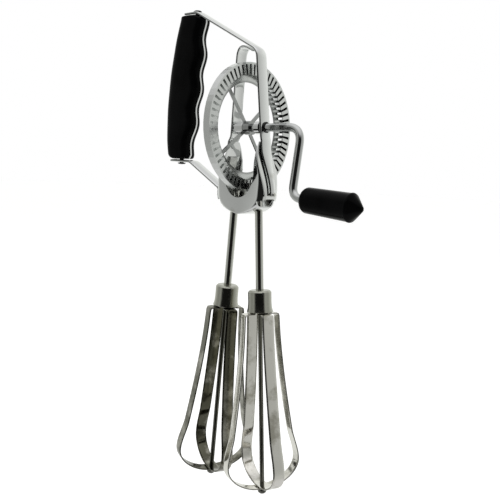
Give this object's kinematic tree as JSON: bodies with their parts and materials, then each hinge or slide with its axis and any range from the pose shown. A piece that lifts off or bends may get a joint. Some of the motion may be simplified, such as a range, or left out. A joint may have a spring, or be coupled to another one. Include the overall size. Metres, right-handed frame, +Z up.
{
  "type": "rotary egg beater",
  "caption": "Hand-cranked rotary egg beater: D-handled steel frame, side-cranked crown wheel, and paired bladed whisks that spin in opposite senses.",
  "frame": {"origin": "middle of the grip, where the hand holds it", "axes": "+Z up along the beaters' mid-line towards the top of the handle, crank axis along Y with the crank towards -Y and the grip's palm side towards +Y, X across the wheel"},
  "size_m": [0.0826, 0.1649, 0.3184],
  "materials": {
    "frame_chrome": "bright nickel-chrome plate",
    "steel": "polished plain steel",
    "blade_steel": "polished stainless steel",
    "black_plastic": "gloss black moulded plastic",
    "black_screw": "black oxide"
  },
  "bodies": {
    "frame": {"front_frame_strap": "frame_chrome", "rear_frame_strap": "frame_chrome", "lower_handle_arm": "frame_chrome", "gear_housing": "frame_chrome", "bearing_bridge": "steel", "front_spindle_bracket": "steel", "rear_spindle_bracket": "steel", "front_axle_boss": "steel", "rear_axle_boss": "steel", "front_housing_rivet": "steel", "rear_housing_rivet": "steel", "near_grip_scale": "black_plastic", "far_grip_scale": "black_plastic", "grip_core_plate": "frame_chrome", "upper_grip_screw": "black_screw", "lower_grip_screw": "black_screw", "front_leg_bush": "black_screw", "front_spindle": "steel", "rear_spindle": "steel"},
    "crank": {"crown_wheel": "frame_chrome", "crank_rod": "steel"},
    "knob": {"crank_knob": "black_plastic"},
    "front_beater": {"front_drive_tube": "steel", "front_pinion": "steel", "front_collar": "blade_steel", "front_inner_blade": "blade_steel", "front_outer_blade": "blade_steel"},
    "rear_beater": {"rear_drive_tube": "steel", "rear_pinion": "steel", "rear_collar": "blade_steel", "rear_inner_blade": "blade_steel", "rear_outer_blade": "blade_steel"}
  },
  "joints": [
    {"name": "crank_turn", "type": "hinge", "parent": "frame", "child": "crank", "pos_m": [0, -0.058, -0.028], "axis": [0, 1, 0], "continuous": true},
    {"name": "knob_spin", "type": "hinge", "parent": "crank", "child": "knob", "pos_m": [-0.00738, -0.0993, -0.07117], "axis": [-0.0147, -0.9962, -0.0859], "continuous": true},
    {"name": "front_beater_spin", "type": "hinge", "parent": "frame", "child": "front_beater", "pos_m": [0, -0.0648, -0.028], "axis": [0, 0.0675, 0.9977], "continuous": true},
    {"name": "rear_beater_spin", "type": "hinge", "parent": "frame", "child": "rear_beater", "pos_m": [0, -0.0512, -0.028], "axis": [0, -0.0675, 0.9977], "continuous": true}
  ],
  "couplings": [
    {"joint": "front_beater_spin", "follows": "crank_turn", "ratio": 5},
    {"joint": "rear_beater_spin", "follows": "crank_turn", "ratio": -5}
  ]
}
